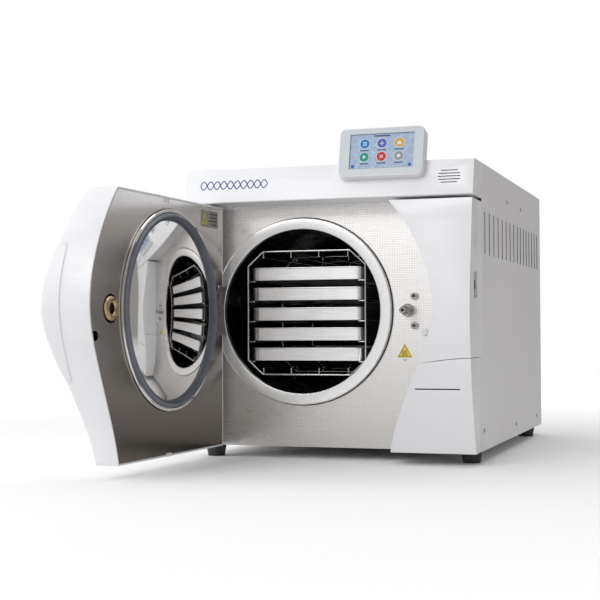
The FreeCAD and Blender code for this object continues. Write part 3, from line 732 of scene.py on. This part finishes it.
def tray_rims():
    """Rolled edge round each tray."""
    for n, tray in enumerate(TRAYS, 1):
        low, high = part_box(tray)
        centre = (low + high) / 2
        outline = rounded_rectangle(high.x - low.x + 0.0002, high.y - low.y + 0.0002, 0.0141, 8)
        points = [(centre.x + u, centre.y + v, high.z - 0.0008) for u, v in outline]
        rim = tube("tray_rim_" + str(n), points, 0.0012, closed=True)
        finish_piece(rim, tray, TRAY, "tray_metal")


# ---------------------------------------------------------------- display

def screen_place(u, v, lift=0.0):
    """Matrix of a spot on the glass: u and v run from its top left corner, and lift comes outwards."""
    height = (GLASS_HIGH.z - GLASS_LOW.z - GLASS_T * math.sin(GLASS_TILT)) / math.cos(GLASS_TILT)
    foot = Vector((GLASS_LOW.x, GLASS_LOW.y, GLASS_LOW.z + GLASS_T * math.sin(GLASS_TILT)))
    lean = Matrix.Translation(foot) @ Matrix.Rotation(math.radians(90) - GLASS_TILT, 4, "X")
    width = GLASS_HIGH.x - GLASS_LOW.x
    return lean @ Matrix.Translation((u * width, (1 - v) * height, lift))


ICONS = [
    (0.23, 0.28, (0.01, 0.17, 0.40)), (0.50, 0.28, (0.07, 0.10, 0.38)), (0.77, 0.28, (0.58, 0.33, 0.04)),
    (0.23, 0.66, (0.01, 0.27, 0.16)), (0.50, 0.66, (0.50, 0.02, 0.02)), (0.77, 0.66, (0.26, 0.28, 0.30)),
]


def glyph(index):
    """Outlines of a plain mark for each button, in millimetres."""
    bars = [[(-3, y - 0.5), (3, y - 0.5), (3, y + 0.5), (-3, y + 0.5)] for y in (-2.2, 0, 2.2)]
    long, half = 3.2, 0.6
    cross = [[(-long, -half), (long, -half), (long, half), (-long, half)],
             [(-half, -long), (half, -long), (half, long), (-half, long)]]
    turned = [[((x - y) * 0.707, (x + y) * 0.707) for x, y in part] for part in cross]
    house = [[(-3, -2.8), (3, -2.8), (3, 0.4), (0, 3.2), (-3, 0.4)]]
    play = [[(-2, -3), (3.2, 0), (-2, 3)]]
    dot = [[(x * 2.6, y * 2.6) for x, y in circle(1.0, 24)]]
    return (bars, cross, house, play, turned, dot)[index]


def bezel():
    """Pearl-grey frame round the glass, with a thin dark line at the window."""
    width, height = GLASS_HIGH.x - GLASS_LOW.x, 0.0538
    outer = [(u - 0.0017, v - 0.0004) for u, v in rounded_rectangle(0.1236, 0.0711, 0.0072, 8)]
    window = rounded_rectangle(width, height, 0.0008, 8)
    plate = framed_slab("screen_bezel", outer, window, 0.35 * MM, screen_place(0.5, 0.5, GLASS_T))
    finish_piece(plate, "cabinet", BEZEL, "white_shell")
    inner = rounded_rectangle(width - 0.0012, height - 0.0012, 0.0006, 8)
    line = framed_slab("screen_edge_line", window, inner, 0.3 * MM, screen_place(0.5, 0.5))
    finish_piece(line, "cabinet", DARK_METAL, "lcd")


def header_badge():
    """A plain mark in blue: two waves that cross one another, with no lettering."""
    y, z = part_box("header_fascia")[0].y - 0.02 * MM, 0.4150
    waves = []
    for sign in (-1, 1):
        path = [(-0.199 + 0.0009 * n, y, z + sign * 0.0062 * math.sin(n * 0.26)) for n in range(122)]
        waves.append(tube("wave", path, 0.0008))
    mark = joined("header_badge", waves)
    onto_header(mark)
    finish_piece(mark, "cabinet", BLUE_INK, "label_silver")


def onto_header(mark):
    """Presses the mark back onto the header's face, wherever that face is at each height."""
    face = bpy.data.objects["header_fascia_soft"]
    shrink = mark.modifiers.new("onto", "SHRINKWRAP")
    shrink.target = face
    shrink.wrap_method = "PROJECT"
    shrink.use_project_x = shrink.use_project_z = False
    shrink.use_project_y = True
    shrink.use_positive_direction = shrink.use_negative_direction = True
    shrink.offset = 0.00015
    apply_modifiers(mark)


def flat_mark(name, outline, x, y, z, mat, body="cabinet", slot="label_yellow", thick=0.12, place=None):
    """A printed shape on a face that looks forwards, its outline in millimetres about (x, z)."""
    obj = slab(name, in_mm(outline), thick * MM, facing_front(x, y, z))
    if place:
        moved(obj, place)
    return finish_piece(obj, body, mat, slot)


def warning_details():
    """Border and a plain wavy sign on the yellow triangle, and two small bars under it."""
    low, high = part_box("warning_label")
    x, z, y = (low.x + high.x) / 2, low.z, low.y
    tall = (high.z - z) / MM
    outer = [(-10.4, 0.6), (10.4, 0.6), (0, tall - 1.2)]
    inner = [(-9.2, 1.3), (9.2, 1.3), (0, tall - 2.6)]
    border = framed_slab("warning_border", in_mm(outer), in_mm(inner), 0.12 * MM, facing_front(x, y, z))
    finish_piece(border, "cabinet", INK_AND_SHADE_BLACK, "label_yellow")
    waves = []
    for dx in (-2.8, 0, 2.8):
        path = [(x + (dx + 0.7 * math.sin(n * 0.7)) * MM, y - 0.05 * MM, z + (5.2 + 0.62 * n) * MM)
                for n in range(10)]
        waves.append(tube("steam", path, 0.00042))
    bar = [(x + dx, y - 0.00005, z + 0.0036) for dx in (-0.0048, 0.0048)]
    waves.append(tube("plate", bar, 0.00045))
    finish_piece(joined("warning_sign", waves), "cabinet", INK_AND_SHADE_BLACK, "label_yellow")
    for n, width in enumerate((7.0, 4.4)):
        bar = rounded_rectangle(width, 0.8, 0.3, 3)
        flat_mark("warning_bar_" + str(n), bar, x, PLATE_Y, z - (2.6 + 1.8 * n) * MM, LABEL, thick=0.1)


def door_label_details():
    """Triangle and bars of the sticker inside the door."""
    y = PANEL_Y + 0.25 * MM
    facing = OPENED @ Matrix.Translation((0, 2 * y, 0)) @ Matrix.Scale(-1, 4, (0, 1, 0))
    x, z = -0.159, 0.3625
    triangle = [(-8.5, -8), (8.5, -8), (0, 9)]
    flat_mark("door_label_triangle", triangle, x, y, z, YELLOW, "door", "label_silver", 0.15, facing)
    inner = [(-6.0, -6.6), (6.0, -6.6), (0, 5.6)]
    flat_mark("door_label_sign", inner, x, y, z, GREEN_INK, "door", "label_silver", 0.25, facing)
    for n, width in enumerate((26, 22, 26, 18)):
        bar = rounded_rectangle(width, 1.8, 0.5, 3)
        x, z = -0.203 + width * 0.0005 + 0.003, 0.3705 - n * 0.0052
        flat_mark("door_label_bar_" + str(n), bar, x, y, z, INK_AND_SHADE_BLACK, "door", "label_silver", 0.15, facing)


def shell_tabs():
    """Two small white tongues that hold the door's inner sheet, at its top and bottom edges."""
    clip = rounded_rectangle(15, 5, 1.2, 4)
    for n, (x, z) in enumerate(((-0.0405, 0.3785), (-0.0445, 0.0215))):
        flat_mark("door_clip_" + str(n), clip, x, PANEL_Y, z, WHITE, "door", "white_shell", -1.2, OPENED)


def screw_sockets():
    """Black hexagons on the two lock screws and at the bottom of the spindle's socket: painted shade standing
    for their hex sockets.
    """
    low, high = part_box("lock_screws")
    x, head = (low.x + high.x) / 2, (high.x - low.x) / 2
    steel = "brushed_steel"
    for n, z in enumerate((high.z - head, low.z + head)):
        # painted shade: flat black hexagons stand for the shade inside the sockets
        flat_mark("screw_socket_" + str(n), hexagon(2.3), x, low.y, z, RUBBER_AND_SHADE_BLACK, slot=steel, thick=0.08)
    flat_mark("spindle_socket", hexagon(2.5), LOCK.x, -0.0362, LOCK.z, RUBBER_AND_SHADE_BLACK, "lock_spindle", steel, 0.05)


def data_port():
    """Grey plate at the bottom of the recess in the column's side, as painted shade, with a dark socket on
    it.
    """
    place = Matrix.Translation((0.2156, -0.050, 0.259)) @ Matrix.Rotation(math.radians(90), 4, "Y")
    plate = slab("data_port_plate", rounded_rectangle(0.036, 0.022, 0.0015), 0.3 * MM, place)
    # painted shade: a grey plate darkens the bottom of the recess
    finish_piece(plate, "cabinet", plastic("recess_painted_shade_grey", (0.30, 0.30, 0.30), 0.5), "black_plastic")
    port = slab("data_port", rounded_rectangle(0.012, 0.007, 0.001), 6.2 * MM, place)
    finish_piece(port, "cabinet", BLACK, "black_plastic")


def screen_icons():
    white = glowing("icon_white", (0.62, 0.67, 0.73), 0.02).mat
    label = glowing("icon_label", (0.06, 0.09, 0.16), 0.02).mat
    for n, (u, v, color) in enumerate(ICONS):
        mat = glowing("icon_" + str(n), color, 0.02).mat
        rim = slab("icon_rim_" + str(n), in_mm(circle(7.6)), 0.10 * MM, screen_place(u, v))
        finish_piece(rim, "cabinet", white, "lcd")
        disc = slab("icon_disc_" + str(n), in_mm(circle(7.0)), 0.18 * MM, screen_place(u, v))
        finish_piece(disc, "cabinet", mat, "lcd")
        marks = [slab("mark", in_mm(part), 0.24 * MM, screen_place(u, v)) for part in glyph(n)]
        finish_piece(joined("icon_mark_" + str(n), marks), "cabinet", white, "lcd")
        bar = slab("icon_label_" + str(n), rounded_rectangle(0.013, 0.0018, 0.0006), 0.12 * MM,
                   screen_place(u, v + 0.19))
        finish_piece(bar, "cabinet", label, "lcd")
    outline = rounded_rectangle(0.024, 0.0024, 0.0008)
    title = slab("screen_title", outline, 0.12 * MM, screen_place(0.5, 0.065))
    finish_piece(title, "cabinet", label, "lcd")
    blue = glowing("icon_small", (0.02, 0.12, 0.42), 0.02).mat
    for n, u in enumerate((0.055, 0.945)):
        dot = slab("screen_dot_" + str(n), in_mm(circle(2.6)), 0.16 * MM, screen_place(u, 0.92))
        finish_piece(dot, "cabinet", blue, "lcd")


# ---------------------------------------------------------------- stage, light, camera

def stage():
    """Pale floor that fades out round the object, so that it ends in the white behind."""
    s = Shader("pale_floor", (0.93, 0.93, 0.93), 0.75)
    parts = s.nodes.new("ShaderNodeSeparateXYZ")
    s.links.new(s.coords, parts.inputs[0])
    x = s.math("MULTIPLY", parts.outputs["X"], parts.outputs["X"])
    dy = s.math("SUBTRACT", parts.outputs["Y"], 0.15)
    far = s.math("SQRT", s.math("ADD", x, s.math("MULTIPLY", dy, dy)), 0.0)
    fade = s.nodes.new("ShaderNodeMixShader")
    clear = s.nodes.new("ShaderNodeBsdfTransparent")
    s.links.new(s.ramp(far, 0.0, 1.0, 0.36, 1.20), fade.inputs["Fac"])
    s.links.new(s.bsdf.outputs[0], fade.inputs[1])
    s.links.new(clear.outputs[0], fade.inputs[2])
    s.links.new(fade.outputs[0], s.nodes["Material Output"].inputs["Surface"])
    floor = from_lists("floor", [(-2, -2, 0), (2, -2, 0), (2, 2, 0), (-2, 2, 0)], [(0, 1, 2, 3)])
    floor.location.z = -0.0002
    floor.data.materials.append(s.mat)


def world():
    """White studio: bright in front, on the left and above, darker on the right, and white behind."""
    w = bpy.data.worlds.new("studio")
    bpy.context.scene.world = w
    w.use_nodes = True
    nodes, links = w.node_tree.nodes, w.node_tree.links
    nodes.clear()
    coords = nodes.new("ShaderNodeTexCoord")
    parts = nodes.new("ShaderNodeSeparateXYZ")
    links.new(coords.outputs["Generated"], parts.inputs[0])
    ramp = nodes.new("ShaderNodeMapRange")
    ramp.inputs["From Min"].default_value = 0.15
    ramp.inputs["From Max"].default_value = 0.80
    links.new(parts.outputs["X"], ramp.inputs["Value"])
    mix = nodes.new("ShaderNodeMix")
    mix.data_type = "RGBA"
    mix.inputs["A"].default_value = (0.80, 0.80, 0.81, 1)
    mix.inputs["B"].default_value = (0.40, 0.385, 0.37, 1)
    links.new(ramp.outputs["Result"], mix.inputs["Factor"])
    ahead = nodes.new("ShaderNodeMapRange")
    ahead.inputs["From Min"].default_value = -0.80
    ahead.inputs["From Max"].default_value = -0.93
    ahead.inputs["To Min"].default_value = 0.78
    ahead.inputs["To Max"].default_value = 1.10
    links.new(parts.outputs["Y"], ahead.inputs["Value"])
    lit = nodes.new("ShaderNodeBackground")
    links.new(mix.outputs["Result"], lit.inputs["Color"])
    links.new(ahead.outputs["Result"], lit.inputs["Strength"])
    seen = nodes.new("ShaderNodeBackground")
    seen.inputs["Color"].default_value = (1.0, 1.0, 1.0, 1)
    ray = nodes.new("ShaderNodeLightPath")
    choose = nodes.new("ShaderNodeMixShader")
    links.new(ray.outputs["Is Camera Ray"], choose.inputs["Fac"])
    links.new(lit.outputs[0], choose.inputs[1])
    links.new(seen.outputs[0], choose.inputs[2])
    out = nodes.new("ShaderNodeOutputWorld")
    links.new(choose.outputs[0], out.inputs["Surface"])


def area_light(name, location, target, size, power):
    data = bpy.data.lights.new(name, "AREA")
    data.shape = "RECTANGLE"
    data.size, data.size_y = size
    data.energy = power
    light = bpy.data.objects.new(name, data)
    bpy.context.scene.collection.objects.link(light)
    light.location = location
    aim = Vector(target) - Vector(location)
    light.rotation_euler = aim.to_track_quat("-Z", "Y").to_euler()


def lights():
    area_light("key_front", (-0.9, -2.6, 1.7), (0, 0, 0.2), (1.6, 1.2), 27)
    area_light("top_soft", (0.0, 0.2, 2.4), (0, 0.1, 0.2), (2.2, 2.2), 17)
    area_light("left_soft", (-2.4, -0.8, 0.9), (-0.2, -0.2, 0.2), (1.4, 1.4), 20)


CAMERA_AT = (0.58244, -1.82575, 0.19363)
CAMERA_YAW, CAMERA_PITCH, CAMERA_ROLL = -0.3150, 0.0287, -0.0040
CAMERA_LENS = 75.92
CAMERA_SHIFT = (-0.0486, -0.0087)


def camera():
    data = bpy.data.cameras.new("camera")
    data.sensor_width = 36.0
    data.lens = CAMERA_LENS
    data.shift_x, data.shift_y = CAMERA_SHIFT
    data.clip_end = 100
    cam = bpy.data.objects.new("camera", data)
    bpy.context.scene.collection.objects.link(cam)
    level = math.cos(CAMERA_PITCH)
    ahead = Vector((math.sin(CAMERA_YAW) * level, math.cos(CAMERA_YAW) * level, math.sin(CAMERA_PITCH)))
    right = Vector((math.cos(CAMERA_YAW), -math.sin(CAMERA_YAW), 0))
    up = right.cross(ahead)
    tilted_right = right * math.cos(CAMERA_ROLL) + up * math.sin(CAMERA_ROLL)
    tilted_up = up * math.cos(CAMERA_ROLL) - right * math.sin(CAMERA_ROLL)
    turn = Matrix((tilted_right, tilted_up, -ahead)).transposed().to_4x4()
    cam.matrix_world = Matrix.Translation(CAMERA_AT) @ turn
    bpy.context.scene.camera = cam
    bpy.context.scene.view_settings.view_transform = "Standard"


paint_nodes()
shells()
flange_ring()
vessel()
pressure_plate()
gasket()
lock_nut()
grip_wrap()
spindle()
tray_rims()
bezel()
screen_icons()
header_badge()
warning_details()
door_label_details()
shell_tabs()
screw_sockets()
data_port()
stage()
world()
lights()
camera()
